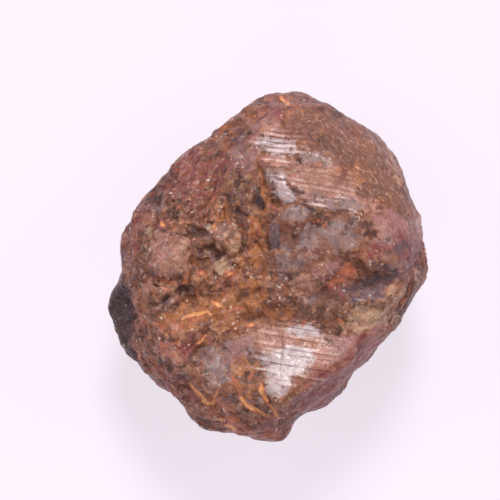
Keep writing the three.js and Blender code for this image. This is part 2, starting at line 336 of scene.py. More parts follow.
def patch(where, x, y, long, wide, turn=0.0, hardness=0.5):
    # 1 inside an oval and 0 outside it, with a soft edge
    turn = math.radians(turn)
    dx, dy = where[:, 0] - x, where[:, 1] - y
    along = (dx * math.cos(turn) + dy * math.sin(turn)) / long
    across = (dy * math.cos(turn) - dx * math.sin(turn)) / wide
    return 1 - smooth(hardness, 2 - hardness, np.hypot(along, across))


def patches(where, rows, hardness):                   # each row: strength, then a patch
    mask = np.zeros(len(where))
    for strength, *oval in rows:
        mask = np.maximum(mask, strength * patch(where, *oval, hardness=hardness))
    return mask


def alongLine(where, corners):                        # distance from a bent line, and the share along it
    best = np.full(len(where), np.inf)
    share = np.zeros(len(where))
    corners = np.array(corners)
    lengths = np.linalg.norm(np.diff(corners, axis=0), axis=1)
    for i, (a, b) in enumerate(zip(corners[:-1], corners[1:])):
        t = np.clip(((where - a) @ (b - a)) / lengths[i]**2, 0, 1)
        distance = np.linalg.norm(where - a - t[:, None] * (b - a), axis=1)
        closer = distance < best
        share = np.where(closer, (lengths[:i].sum() + t * lengths[i]) / lengths.sum(), share)
        best = np.where(closer, distance, best)
    return best, share


# The calm, weathered masses: the crown's right-hand side, the lower lined mass and the right-hand swelling.
# Each row: strength, x, y, half length, half width and, where it isn't 0, turn.
calmPlan = {
    "hardness": 0.7,
    "stillness": 0.82,               # how much of the relief they lose
    "rows": [
        (0.9, 5.6, -10.4, 4.6, 1.5, 40), (0.9, 8.6, -1.6, 2.8, 1.3, 18), (0.8, 5.2, -3, 2, 1.2),
        (0.8, 5.6, -10.2, 4, 1.6, 38), (0.7, 8.8, -6.8, 1.6, 2.2, -15), (0.6, 5, -0.6, 2.6, 1.6, 20),
        (1, 4.6, 9.4, 6.4, 4.6, -20), (1, 8.4, 6.4, 4.6, 4.4, -30), (0.9, 3.4, 3.4, 3.6, 3.4),
        (1, 2.2, -7.2, 5, 3.6, -8), (0.8, 10.8, 3.4, 3, 3), (0.7, -2, -8.2, 2.6, 2.6),
    ],
}
calm = patches(drawn[:, :2], calmPlan["rows"], calmPlan["hardness"]) * upper
rough = 1 - calmPlan["stillness"] * calm


# Broken relief, in mm. The last number of a row is its seed.
relief = {
    "faces": [(2.3, 0.20, 0.06, 3), (1.15, 0.26, 0.05, 13), (0.62, 0.26, 0.03, 23)],     # cell, tilt, level
    "creases": [(2.0, 0.045, 0.09, 43), (0.95, 0.070, 0.05, 53)],    # cell, half width (of a cell), depth
    "creaseEdge": (0.2, 1.0),        # of its half width
    "creaseBend": (0.9, 0.22, 70),   # wave and reach
    "creaseGap": (1.6, 75),          # wave, in cells
    "creaseShown": (-0.15, 0.35),    # of that wave
    "swell": (1.4, 0.05, 5),         # wave and height
    "grit": (0.42, 0.030, 8),
    "calmGrit": (0.7, 0.020, 12),
    "rimFacing": (0.10, 0.55),       # the outline is where the skin faces up no further than this
    "rimShare": 0.6,                 # how much of all this stays there
}


def roughen(plan):
    move, tone, crease = np.zeros((3, len(base)))
    for i, (cell, tilt, step, seed) in enumerate(plan["faces"]):
        height, name, _ = breakFaces(base, cell, tilt, step, seed)
        move += height
        tone += (name - 0.5) * 0.5**i        # smaller faces differ less in colour
    wave, reach, seed = plan["creaseBend"]
    bent = base + reach * np.stack([noise(base, wave, seed + a) for a in range(3)], 1)
    gap, gapSeed = plan["creaseGap"]
    for i, (cell, halfWidth, depth, seed) in enumerate(plan["creases"]):
        edge = breakFaces(bent, cell, 0, 0, seed)[2]
        cut = 1 - smooth(*plan["creaseEdge"], edge / (2 * halfWidth))
        cut *= smooth(*plan["creaseShown"], noise(base, gap * cell, gapSeed + i))
        move -= depth * cut
        crease = np.maximum(crease, cut)
    wave, height, seed = plan["swell"]
    move += noise(base, wave, seed) * height
    wave, height, seed = plan["grit"]
    move += roughness(base, wave, seed) * height
    onRim = 1 - smooth(*plan["rimFacing"], np.abs(normals[:, 2]))
    move *= rough * (1 + (plan["rimShare"] - 1) * onRim)
    wave, height, seed = plan["calmGrit"]
    move += roughness(base, wave, seed) * height * (1 - rough)
    return move, tone, crease * rough


move, tone, crease = roughen(relief)
print("broken relief is ready")


# Grooves, cracks, pits and plates
cutting = {
    # its line, half width, depth, what lies in it (shade is painted shade in the groove), and how strong
    # that colour is
    "grooves": [
        ([(-1.4, 9.5), (-0.8, 8.4), (-0.5, 6.8), (0.1, 6), (0.9, 5.4)], 0.34, 0.24, "ochre", 0.8),
        ([(0.1, 6), (-0.3, 4.9), (-1.4, 3.9), (-1.3, 2.4), (-0.6, 1.2)], 0.32, 0.16, "ochre", 0.7),
        ([(-2.5, 1.9), (-2.3, 0.8), (-2.7, -0.2), (-3.3, -0.9)], 0.2, 0.16, "ochre", 0.9),
        ([(0.2, 1.4), (0.3, 0.2), (0.1, -0.8)], 0.36, 0.14, "shade", 0.35),
        ([(-3.6, 8.9), (-3.9, 7.6), (-4.4, 6.4), (-4.9, 5), (-6, 3.9)], 0.24, 0.14, "shade", 0.4),
        ([(-6.9, 3.7), (-5.6, 3.3), (-4.7, 2.5), (-4.9, 1.2), (-4, 0.4)], 0.2, 0.16, "shade", 0.5),
        ([(-10.6, -1.7), (-9.4, -2.5), (-8.2, -2.5), (-7.2, -1.6)], 0.24, 0.16, "rust", 0.5),
        ([(-7.4, -4.4), (-6.4, -3.9), (-5.3, -3.7), (-4.9, -4)], 0.22, 0.05, "amber", 1),
        ([(-4.9, -2.8), (-4.3, -3.1), (-3.8, -3.4)], 0.18, 0.05, "amber", 0.9),
        ([(-6.4, -6.6), (-6, -6.3), (-5.5, -5.7)], 0.17, 0.06, "amber", 0.9),
        ([(-11.3, -7.2), (-11.1, -8)], 0.13, 0.05, "amber", 0.8),
        ([(-7, -10.2), (-6.3, -10.9), (-5.3, -11.6), (-4.9, -11.9)], 0.22, 0.12, "amber", 1),
        ([(-4.4, -10.4), (-4.7, -11.1), (-4.9, -11.8)], 0.16, 0.08, "amber", 0.9),
        ([(-2.4, -11.2), (-1.5, -12), (-0.6, -12.9)], 0.29, 0.14, "amber", 1),
        ([(-0.7, -9.8), (-0.35, -10.7), (-0.1, -11.6)], 0.29, 0.14, "amber", 1),
        ([(-0.1, -11.8), (0.3, -12.3), (0.7, -12.9)], 0.24, 0.12, "amber", 1),
        ([(-4.6, -13.1), (-3.9, -13.5)], 0.17, 0.06, "amber", 0.9),
        ([(-3.7, -13.5), (-2.7, -14.1)], 0.2, 0.06, "amber", 0.9),
        ([(-2.5, -13.9), (-1.6, -14.4)], 0.12, 0.05, "ochre", 0.8),
        ([(1, 15), (1.4, 14.7), (1.8, 14.2)], 0.2, 0.05, "amber", 1),
        ([(-8, 5.1), (-8.1, 4.5), (-7.9, 4)], 0.16, 0.1, "shade", 0.7),
        ([(-6.3, 3.2), (-6.1, 2.5), (-6.2, 1.8)], 0.2, 0.12, "shade", 0.6),
        ([(-2.2, 4), (-2, 3), (-2.1, 1.6), (-2.7, 0.8)], 0.2, 0.14, "shade", 0.45),
        ([(-4.9, 0.4), (-5, -0.8), (-5.3, -1.5)], 0.18, 0.12, "shade", 0.4),
        ([(-9.6, 5.5), (-9.7, 4.4), (-10, 3.3)], 0.2, 0.12, "shade", 0.45),
        ([(-5.7, 0.8), (-5.2, 0.3), (-5, -0.3)], 0.13, 0.08, "shade", 0.6),
        ([(-1.2, 3.5), (-1, 2.6), (-1.4, 1.8)], 0.22, 0.1, "shade", 0.5),
        ([(1.1, -5.6), (1.2, -7), (1.05, -8.4), (1, -9.4)], 0.11, 0.07, "shade", 0.55),
        ([(3.9, -5.9), (3.75, -7), (3.5, -8.2), (3.2, -9)], 0.12, 0.07, "rust", 0.8),
        ([(2.3, -6.4), (2.35, -7.6), (2.2, -8.6)], 0.07, 0.05, "shade", 0.35),
        ([(7.9, -6.9), (6.4, -8), (4.8, -9), (2.6, -10.3), (1.2, -11.6)], 0.16, 0.1, "shade", 0.45),
        ([(4.7, -6.8), (4.2, -7.6), (4, -8.8), (3.5, -9.4)], 0.13, 0.09, "rust", 0.9),
    ],
    # x, y, half length, half width, turn, depth, and darkness: the painted shade in the pit
    "pits": [
        (-6.5, 3.4, 0.8, 0.3, -15, 0.34, 0.65), (-4.9, 4, 0.45, 0.22, 0, 0.16, 0.7),
        (-4.7, 1.5, 0.65, 0.3, -15, 0.3, 0.6), (-0.8, 5.8, 0.8, 0.45, 105, 0.3, 0.85),
        (-2.6, 4.7, 0.75, 0.35, -40, 0.24, 0.7), (-2, 6.7, 0.4, 0.2, 80, 0.14, 0.5),
        (-7.3, -1.9, 0.5, 0.45, 30, 0.28, 0.65), (-6.7, -2.6, 0.45, 0.3, 0, 0.2, 0.5),
        (-8.7, -2.6, 0.26, 0.5, 0, 0.26, 0.7), (-9.6, -3.2, 0.7, 0.22, 8, 0.2, 0.6),
        (-1.9, -2.1, 0.35, 0.28, 0, 0.12, 0.6), (-3.6, 9.6, 0.5, 0.2, -70, 0.12, 0.5),
        (-4.3, 8.6, 0.45, 0.25, 60, 0.1, 0.4), (5.3, -6.3, 0.5, 0.28, -25, 0.12, 0.8),
        (4.9, -5.9, 0.18, 0.3, 0, 0.1, 0.7), (0.1, -8, 0.3, 0.35, 10, 0.08, 0.6),
        (0.35, -9.1, 0.3, 0.35, 10, 0.08, 0.6), (1.3, -10.1, 0.25, 0.25, 0, 0.08, 0.6),
        (-0.6, -3.3, 0.3, 0.3, 0, 0.12, 0.4), (0.3, 8.05, 0.3, 0.2, 20, 0.06, 0.6),
        (0.8, 7.35, 0.26, 0.2, 0, 0.06, 0.55), (0.15, 7.35, 0.22, 0.16, 0, 0.05, 0.45),
        (1.1, 6.6, 0.2, 0.15, 0, 0.05, 0.4), (6, 13.3, 0.9, 0.22, -25, 0.12, 0.6),
        (0.2, 3.7, 0.3, 0.6, 0, 0.1, 0.5), (-0.3, 1.1, 0.25, 0.45, 0, 0.12, 0.6),
        (1.5, -0.6, 0.45, 0.3, 30, 0.1, 0.4), (-4.5, 12.6, 0.5, 0.25, 50, 0.14, 0.7),
        (-5.2, 11.7, 0.5, 0.2, 45, 0.12, 0.6),
    ],
    # each stands up with a firm edge: x, y, half length, half width, turn, height
    "plates": [
        (0.9, 7.2, 1.7, 0.75, 122, 0.22), (2.2, 4.4, 1.05, 0.85, 0, 0.16), (0.9, 3.5, 0.6, 0.9, 0, 0.08),
        (1.2, 0.5, 0.9, 1, 20, 0.1), (2.9, 1.3, 0.9, 0.8, 0, 0.1), (6.8, 2.7, 1.5, 1, 10, 0.1),
        (-8.5, 0.9, 1.9, 2.1, 10, 0.16), (-8.2, -0.7, 1.3, 0.8, 0, 0.12), (-3.4, 2.6, 1.2, 1.5, 0, 0.24),
        (-3.9, 0.1, 0.9, 0.8, 20, 0.2), (-6.1, -0.3, 0.7, 1, 15, 0.2), (-9.9, -2.4, 0.9, 0.8, 0, 0.18),
        (-10.9, 4.4, 0.9, 1.2, -20, 0.16), (-5.3, 6.8, 1.9, 1.4, 20, 0.14), (-5, 9.3, 1.6, 1, 10, 0.12),
        (-7.4, 8.3, 0.8, 1, 20, 0.14), (-8.8, 6.4, 0.9, 0.7, 40, 0.12), (-2, -0.9, 1.2, 0.9, 20, 0.12),
        (-4.2, -1.2, 0.8, 0.7, 0, 0.12), (-3.4, -3.8, 0.7, 0.6, 0, 0.1), (-10.6, 3.4, 1, 0.8, 60, 0.12),
        (-5.8, -1.5, 0.7, 0.6, 0, 0.12), (4.9, -6.9, 1.1, 0.9, -10, 0.08), (6.9, -7.6, 1, 0.8, 20, 0.1),
    ],
    "narrow": 0.24,                  # mm, a groove under this half width wanders only a little
    "endWidth": 0.35,                # of the groove's own
    "endSlope": 0.6,                 # under 1, the ends are blunt
    "endTrim": 0.02,
    "grooveEdge": (0.25, 1.0),       # of its half width
    "fillingEdge": (0.55, 1.15),
    "pitHardness": 0.40,
    "plateHardness": 0.72,
}


def cutDetails(plan):                # how far the skin moves, and what lies in the grooves and pits, with painted shade in the pits
    move = np.zeros(len(base))
    fillings = {name: np.zeros(len(base)) for name in ("rust", "ochre", "shade", "amber")}
    for line, halfWidth, depth, filling, strength in plan["grooves"]:
        distance, share = alongLine(wanderFine if halfWidth < plan["narrow"] else wander, line)
        bulge = np.sin(np.pi * np.clip(share, plan["endTrim"], 1 - plan["endTrim"]))**plan["endSlope"]
        distance /= halfWidth * (plan["endWidth"] + (1 - plan["endWidth"]) * bulge)
        move -= depth * (1 - smooth(*plan["grooveEdge"], distance))
        filled = strength * (1 - smooth(*plan["fillingEdge"], distance))
        fillings[filling] = np.maximum(fillings[filling], filled)
    for *oval, depth, darkness in plan["pits"]:
        hollow = patch(wander, *oval, plan["pitHardness"])
        move -= depth * hollow
        fillings["shade"] = np.maximum(fillings["shade"], darkness * hollow)
    for *oval, height in plan["plates"]:
        move += height * patch(wander, *oval, plan["plateHardness"])
    return move * upper, fillings


details, fillings = cutDetails(cutting)
move += details
print("grooves, pits and plates are cut")


# Parting layers
# The stone parts along planes that tilt up the stone. They show as steps wherever it broke across them.
layers = {
    "turn": 82, "tilt": 19, "spacing": 1.10, "depth": 0.11,
    "bends": [(4.0, 0.5, 31), (1.1, 0.14, 33)],      # wave in mm, reach in layers, seed
    "riser": 0.25,                   # of a layer
    "firmness": (0.5, 7),            # the least that a layer stands out, and the seed
    "flat": (0.75, 0.95),            # flat lying faces show no steps
    "hardness": 0.6,
    "rows": [
        (0.6, 5.6, -10.2, 3.6, 2.2, 35), (0.6, 8.6, -7.2, 2.2, 2.6, 20), (0.6, 9, -0.8, 3, 1.2, 20),
    ],
    "lowSide": (3.5, 6.5),           # mm up, on the hidden side
    "lowShare": 0.2,
}


def cutLayers(plan):
    up = np.array(leaning(plan["turn"], plan["tilt"]))
    level = drawn @ up / plan["spacing"]
    for wave, reach, seed in plan["bends"]:
        level = level + noise(base, wave, seed) * reach
    step = level - np.floor(level)
    ledge = smooth(0.0, plan["riser"], step) * (1 - smooth(plan["riser"], 1.0, step))
    least, seed = plan["firmness"]
    firmness = least + (1 - least) * dice(np.stack([np.floor(level)] * 3, 1), seed)
    low = (1 - upper) * (1 - smooth(*plan["lowSide"], base[:, 2]))
    where = patches(drawn[:, :2], plan["rows"], plan["hardness"]) * upper
    where = np.maximum(where, plan["lowShare"] * low)
    where = where * (1 - smooth(*plan["flat"], np.abs(normals @ up)))
    return plan["depth"] * ledge * firmness * where


move += cutLayers(layers)
points = base + normals * (move * lift)[:, None]
points[:, 2] = np.maximum(points[:, 2], 0)
print("parting layers are cut")


# What colours the stone, and where
# Each row, here and under features: strength, x, y, half length, half width and, where it isn't 0, turn.
pigments = {
    "crimson": [                     # dark ruby red, where the skin is thin; the rows along the lower-left rim and at the top edge (4.4, 14.6) are painted shade
        (1, -8, 8.1, 1.4, 1.3, 40), (1, -6.6, 9.5, 1.2, 1.3), (1, -6.5, 6.9, 1.3, 1.1),
        (0.7, -5, 8.4, 1, 1.4), (0.7, -11.7, 3.4, 0.5, 1.7, -15), (0.7, -3, 8.9, 1, 0.7),
        (0.7, 0.4, 13.7, 1.4, 0.8), (0.6, -8.8, 7.2, 0.8, 1.2, 50), (0.5, -3.9, 10.1, 0.4, 0.8),
        (1, -7, -6.8, 1.7, 0.75, 55), (0.8, -8.2, -9.9, 3.2, 0.8, -38), (0.6, -12, 0.4, 0.5, 2.2, -8),
        (1, 4.7, -9.9, 4.2, 1.1, 40), (1, 6, -10.6, 4, 1.3, 40), (0.9, 7.9, -6.5, 0.5, 1.2, -10),
        (1, 0.1, -14.2, 2.4, 1.3), (0.7, 4.4, 14.6, 2, 0.5, -20), (0.8, 5.8, -2, 1, 0.35, -10),
        (0.7, 5.5, 4, 0.6, 0.3), (0.5, 8.8, 11.9, 0.4, 1, 30), (0.9, 12.4, 1.6, 1, 1.8),
        (0.6, 10.2, 2.2, 2.2, 1, 20), (0.5, -2.4, -5.3, 1.6, 0.4, 10), (0.5, -10.4, 4.2, 0.6, 1.8, 60),
        (0.5, -9.4, -0.6, 1.4, 0.5, 20), (0.6, 9, 1.4, 2.2, 0.6, 20), (0.7, 9.6, -1.6, 1.6, 0.8, 20),
    ],
    "rust": [                        # red-orange stain
        (0.85, 6.5, -0.5, 1.9, 0.65, 38), (0.4, 0.6, 5.1, 0.9, 0.6, -20), (0.5, -1.2, 3.4, 0.4, 1),
        (0.6, -8.6, -6.6, 1.8, 0.9, -30), (0.9, -1.8, -13.9, 3.2, 0.9, -12), (0.8, -8.9, -4.9, 1.2, 0.5),
        (0.7, -8.2, -1.4, 1.2, 0.3, -10), (0.6, -6.4, -2.4, 0.25, 0.9), (0.45, -3.3, -1, 1, 1.5),
        (0.5, -5.4, 4.6, 1.4, 0.6, 20), (0.5, -4.4, 6.2, 0.9, 0.6, 30), (0.6, -11.5, -3.6, 0.4, 1.8),
        (0.5, -4.8, -11.2, 1.8, 0.5, -50), (0.6, 5, 8.8, 2.2, 0.25, -12), (0.5, 2.2, 8, 0.8, 0.5),
        (0.8, 11.7, -2.9, 0.6, 0.3, 20), (0.6, -2.1, 4.6, 0.5, 1.2, 20), (0.5, -9, 4, 0.5, 0.4),
        (0.5, 4.2, 3.8, 1.4, 0.4, -10),
    ],
    "ochre": [                       # orange-brown rust that lies in the valleys
        (1, -4.6, -3.7, 3.4, 1.3, 6), (0.9, -8, -4.6, 2.2, 0.9, 10), (0.9, -1.8, -2.6, 1.8, 1.6),
        (0.55, -2, -10.6, 1.5, 1.1), (0.7, -4.9, -11.7, 1.3, 0.5, -40), (1, -1, 2.4, 0.75, 2.4),
        (0.7, -3.4, -13, 1.8, 0.6, -25), (0.45, -5, -0.6, 1, 1.4), (0.8, -3.6, -4.9, 2.2, 0.5, 5),
        (0.6, -3.6, 4.9, 1.5, 0.9, 20), (0.35, -2.4, -0.4, 0.9, 1.8, 15), (0.5, -7.6, 4, 1.2, 0.7),
        (0.8, 1.8, -3.6, 0.25, 0.8), (0.6, 0.6, -3.9, 1.6, 0.6), (0.6, 7.4, 8.1, 1.5, 0.9, -30),
        (0.6, -4.1, 12.3, 1.4, 0.6, 42), (0.5, 2.4, 13.9, 1.2, 0.9, -20), (0.5, -9.9, -8.6, 1.6, 0.7, -45),
        (0.6, -2.1, -8.7, 1.3, 0.9, -20), (0.5, -5.9, -0.2, 1.6, 1.2), (0.5, -10.8, -4.8, 0.8, 1.4),
        (0.5, -3, 2.4, 1, 1.2), (0.5, -6.8, -12.2, 1.4, 0.6, -40),
    ],
    "umber": [                       # even brown of the sandy slope
        (1, 8.4, 9.6, 4.8, 4.2, -35), (0.9, 4, 12.8, 2.6, 1.6, -25), (0.7, 10.9, 6.6, 1.8, 2),
        (0.8, 9.4, -4, 2.6, 1.4, 20), (0.6, -9.8, -5.8, 2, 2.2), (0.8, 4.2, -3, 2.6, 1.4, 5),
        (0.6, 3.4, 1.4, 2.2, 1.4), (0.5, -11, 2.2, 1.2, 2.4, 10),
    ],
    "olive": [                       # grey-green brown
        (0.5, 11.2, 9.2, 0.9, 2.8, 25), (1, 8.4, -4.4, 2.3, 1.2, 12), (0.6, 10.4, -2.4, 1.2, 0.8, 25),
        (0.6, -4.9, 3.6, 0.5, 0.5), (0.8, -3.9, 0.2, 0.9, 0.8), (0.7, -3.3, 2.4, 1, 1.4),
        (0.6, -3.2, -2.6, 0.6, 0.7), (0.4, -2.2, -0.9, 0.9, 1.4), (0.5, -2.9, -6.2, 0.9, 0.5),
        (0.5, -10.2, 3, 0.8, 1.2, 30), (0.4, -9.9, -7.4, 1, 0.7),
    ],
    "blush": [                       # pale red-brown, worn smooth
        (0.4, 4.4, -3.2, 1.9, 0.9), (0.4, 3.4, 1.6, 1.8, 0.8), (0.4, 8.4, 1, 1.8, 0.8, 20),
        (0.5, 9.2, 3.1, 1.3, 0.7), (1, 4.4, 7.6, 3.6, 1.3, -12), (1, 2.6, -6.6, 3.6, 1.9, -8),
        (0.6, -8.2, -7.6, 1.7, 0.9, -40), (1, 0.6, 9.35, 1.7, 0.45, -10), (0.6, -0.3, 12.2, 0.7, 1.2),
        (0.5, 8.8, 5.6, 1.8, 1, -30), (0.9, -8.5, 1.2, 1.7, 2), (0.6, 7.4, -4.9, 1.6, 0.6, 5),
        (0.6, -7.3, -4.4, 1.4, 0.5), (0.5, 11.6, -1.2, 0.9, 1.2), (0.5, 2.6, -1.2, 1.4, 0.8),
        (0.4, 3.2, 6, 1.2, 0.6),
    ],
    "mauve": [                       # pink-purple, clean and smooth
        (0.8, 10.3, 3.8, 2, 1.2, 10), (0.9, 11.6, 3, 1.4, 1.8), (0.7, -4.2, -8, 1.8, 1.6),
        (0.9, -1.15, 11.4, 0.5, 1.9, 8), (0.9, 0.1, 13.2, 0.9, 1.7, -5), (0.8, -2.4, 9.8, 1.2, 1.5, 20),
        (0.5, 3.4, 8.3, 2.4, 0.5, -12), (0.9, 8.9, -6.6, 0.9, 1.8, -20), (0.7, 6.6, -8.6, 2.2, 0.8, 38),
        (1, 5.8, -6.9, 1.9, 1.5), (1, 4.8, -8.1, 1.7, 1.1, 40), (0.5, -1.2, -6.4, 1.8, 1.1),
        (0.5, -11.6, 5.4, 1, 0.9, 50), (0.5, -8.9, -6.9, 1.4, 0.9), (0.5, 4.8, -0.1, 1.6, 1),
        (0.6, -2.6, -7, 1.8, 1.2, 10), (0.2, 3.6, -12.2, 1.2, 0.6, 30), (0.4, 9, 2.8, 1.6, 1),
    ],
    "slate": [                       # dark blue-grey
        (0.8, 0.6, 2.9, 0.55, 1.3), (0.8, 2.1, 0.65, 1, 0.6), (0.9, 1.1, 0.2, 0.7, 1, 20),
        (0.6, -4.9, -7.9, 1.2, 1.5), (0.5, -3.4, -11.5, 1.5, 0.8, -20), (0.6, -1.3, -10.9, 0.9, 1.6, 10),
        # the rows at (10.5, 0.1) and (7.9, -1.5) are painted shade in the shadowed recess
        (0.25, 10.5, 0.1, 1.5, 0.6, 22), (0.15, 7.9, -1.5, 1.6, 0.75, 15), (1, 0.5, 7.8, 0.9, 0.7, 125),
        (0.7, -0.75, 5.9, 0.5, 0.9, 15), (0.6, -2.9, 10.7, 0.9, 1.2), (0.45, -2.5, 9.3, 1, 1.1, 20),
        (0.5, -3.4, -3.8, 0.6, 0.8), (0.5, 5, -6.6, 1, 0.7, -20), (0.7, -8.7, -2.6, 0.9, 0.5),
        (0.7, -7.2, -2, 0.8, 0.6, 30), (0.6, -5, 2.6, 1.2, 0.6, -20), (0.8, 4.2, 9.3, 2.1, 0.6, -18),
        (0.5, -3.6, 2.8, 1, 0.9), (0.5, -9.6, 5.2, 0.8, 1), (0.6, 0, -8.4, 0.6, 1, 10),
        (0.5, -2, 6.2, 0.5, 1, 20), (0.5, -5, 1, 0.9, 0.5, -10), (0.5, 3, 2.6, 0.8, 0.6),
    ],
    "ash": [                         # thin grey film, blue beside the browns
        (0.7, 2.4, 4.6, 1.2, 1.1), (0.7, 6.1, 2.95, 2.2, 1.5, 5), (0.6, 4, 2.6, 2.2, 1.3),
        (0.5, 2.6, 0.6, 1.8, 1.2), (0.6, 3.9, -2.6, 1.3, 0.7), (0.5, -8.7, 1.6, 1.6, 1.4, 10),
        (0.8, -4.4, -8.4, 1.6, 1.9), (0.5, -2.8, -6.8, 2.2, 0.9), (0.8, 0.8, 8.1, 0.7, 0.6),
        (0.6, 3.8, 9.7, 1.7, 0.5, -14), (0.8, 6, 5.8, 2.9, 0.8, -8), (0.5, 1.4, 1, 1, 1.4),
        (0.5, 0.6, 3.4, 0.5, 1), (0.5, -3.4, 3, 1.2, 0.9), (0.5, 5, -7, 1.2, 1.2),
        (0.5, 9.8, 2.4, 1.2, 0.7), (0.35, -2.4, 9.6, 1.1, 1.3, 20),
    ],
    "plumAndShade": [                        # smooth dark purple, mostly painted shade: the shadowed recess, the shadowed nub and the shadow beside it, a cast shadow at the top edge and the shaded rims
        (1, 8.5, -1.6, 2.3, 0.95, 12), (0.9, 10.3, -0.5, 1.9, 0.9, 30), (0.9, 8.4, -2.3, 1.9, 0.6, 10),
        (0.6, 9.4, 0.6, 1.8, 0.5, 30), (0.6, 6.8, -10.6, 3, 0.5, 40), (0.6, 12.6, 0.2, 0.8, 1.6),
        (0.7, 11.5, 1.8, 1.6, 0.7, 30), (1, -13.1, -4.4, 1.35, 3.6), (0.6, -11.8, -3.4, 0.5, 2.6),
        (0.6, -7, -12.4, 2.6, 0.6, -38), (0.6, -2.6, 11.8, 0.8, 1.3), (0.5, 4.4, 14.6, 2, 0.5, -20),
        (0.5, -9.9, -9.6, 2.2, 0.5, -45), (0.5, -5.4, -7.4, 0.6, 1), (0.5, 1.5, -0.6, 0.8, 0.7),
    ],
    "silver": [                      # grey-white film on worn parting faces, and painted highlight where it lies on the striated faces
        (0.8, 0.8, 10.5, 1.9, 1, -8), (0.35, 3.6, 9.6, 1.6, 0.6, -14), (1, 1.45, 6.4, 1.2, 0.65, 125),
        (0.55, 0.45, 7.7, 1, 0.8, 110), (0.45, 4.4, 5.7, 1.5, 0.4, -8), (0.35, 6.6, 5.7, 1.4, 0.5, -12),
        (0.35, 6.1, 3.1, 1.5, 0.8, 5), (0.35, -8.7, 1.6, 1.2, 1.1, 10), (0.85, 3, -5.3, 1.8, 0.55, -8),
        (1, 1.6, -7.6, 2.8, 0.8, 6), (1, 1.4, -8.5, 2.2, 0.9, 8), (0.95, 0.8, -9.9, 1.2, 1.1, 30),
        (0.4, 5.2, -6.6, 1, 0.6, -20), (0.8, 13.3, 3.6, 0.4, 1.2, -5), (0.5, 12.9, -0.6, 0.5, 0.9),
        (0.2, -2.4, -7.6, 1.4, 1.2),
    ],
    "shade": [                       # near-black purple, painted shade: the shadowed nub, a cast shadow at the top edge and over the neck, the shaded rims, the recess and the dark pits
        (1, -13.2, -4.4, 1.35, 3.8), (1, -12.4, -7.2, 0.8, 1.3, 30), (0.4, -4.5, -13.3, 2.4, 0.7, -28),
        (0.5, -3.6, 12.3, 1, 0.4, 45), (0.6, -9.7, 6.6, 1.3, 0.5, 52), (0.6, -8.8, 8, 0.8, 1.1, -20),
        (0.4, -8.7, 4.6, 0.6, 0.7), (0.5, -2.6, 8.6, 1.1, 0.7), (0.45, -3.3, 5.6, 0.8, 0.7),
        (0.45, -2.2, 4.2, 0.7, 0.6), (0.5, 0, 0.9, 0.5, 0.9), (0.6, 5.5, -6.2, 0.7, 0.35, -20),
        (0.5, -0.6, -7.6, 0.7, 0.4, -30), (0.4, 1.4, -10.3, 0.4, 0.4), (0.4, -3.9, -9.4, 0.7, 1, 10),
        (0.5, -1, -13.9, 2.9, 0.8, -12), (0.45, -11.2, -9, 1.6, 0.4, -55), (0.5, 3.4, 14.9, 2, 0.4, -15),
        (0.5, 7.9, -1.5, 1.6, 0.6, 15), (0.5, 9.9, -0.6, 1.4, 0.5, 25), (0.4, -2.6, 5.2, 0.5, 1.2, 10),
        (0.4, 0.5, -0.9, 0.4, 1.2), (0.5, -10.4, -10.3, 1.4, 0.3, -42), (0.4, -5.6, -12.2, 1, 0.4, -30),
    ],
}
# Other places: the lined parting faces, the painted highlight streaks on them, the broken wall, the sandy
# slope where the grain is strongest, and small painted highlights in the pits and the valley. Each: where,
# hardness, rows.
features = {
    "lined": (wanderFine, 0.6, [
        (1, 1.1, 10.6, 2.5, 2.1, -12), (0.6, 4.9, 7.2, 4.2, 1.7, -12), (0.75, 2.6, -7.3, 4.2, 3, -10),
        (0.4, 6.6, 5.6, 2.8, 0.9, -12),
    ]),
    "paintedStreaks": (wanderFine, 0.5, [
        (1, 0.7, 10.2, 2.2, 1.5, -8), (0.5, 4.6, 7.7, 3, 1.3, -12), (0.65, 4.4, 5.6, 1.7, 0.4, -8),
        (0.6, 2, -7.8, 3.2, 2.8, -8), (0.6, 0.9, 6.9, 0.7, 1.6, 30),
    ]),
    "wall": (wander, 0.5, [
        (1, 5.4, -9.9, 4.4, 1.3, 40), (0.8, 8.9, -6.2, 0.9, 1.8, -20),
    ]),
    "sandy": (wander, 0.5, [
        (1, 8.4, 9.6, 4.6, 4, -35), (0.8, 3.4, 13.6, 2.6, 1.4, -20), (0.7, 8.6, -3.8, 3.4, 2, 15),
    ]),
    # these amber spots are painted highlights; the amber slivers come from the grooves
    "amber": (wanderFine, 0.3, [
        (1, -9.2, 3.9, 0.3, 0.18, -60), (0.9, -4.7, 3.65, 0.35, 0.15, 60), (0.9, -7.2, -1.2, 0.25, 0.2),
        (0.8, -5.9, -0.4, 0.3, 0.22, 40), (0.8, -3.3, -0.4, 0.4, 0.2, 10), (1, -4.5, -3.1, 0.4, 0.25, -40),
        (0.8, -8.9, -1.7, 0.3, 0.12, -20), (0.9, -1.6, -4.85, 0.35, 0.16), (0.7, -6.3, -4.3, 0.6, 0.2, 30),
        (0.6, -2.6, -3.4, 0.5, 0.18), (0.6, -3.7, -2.2, 0.3, 0.15, 30), (0.6, 3, -4.6, 0.35, 0.15, 60),
        (0.6, 6.2, -4.4, 0.3, 0.15, -30), (0.5, -0.9, 3, 0.2, 0.3), (0.5, -2.9, 5.6, 0.25, 0.15),
        (0.6, -7.9, 5.3, 0.25, 0.15, 30), (0.5, -6.2, 2.6, 0.2, 0.14), (0.6, -3, -9.6, 0.4, 0.15, -50),
        (0.6, -1.6, -9.3, 0.35, 0.15, 40), (0.5, -9.6, -9.4, 0.4, 0.14, -40),
    ]),
}
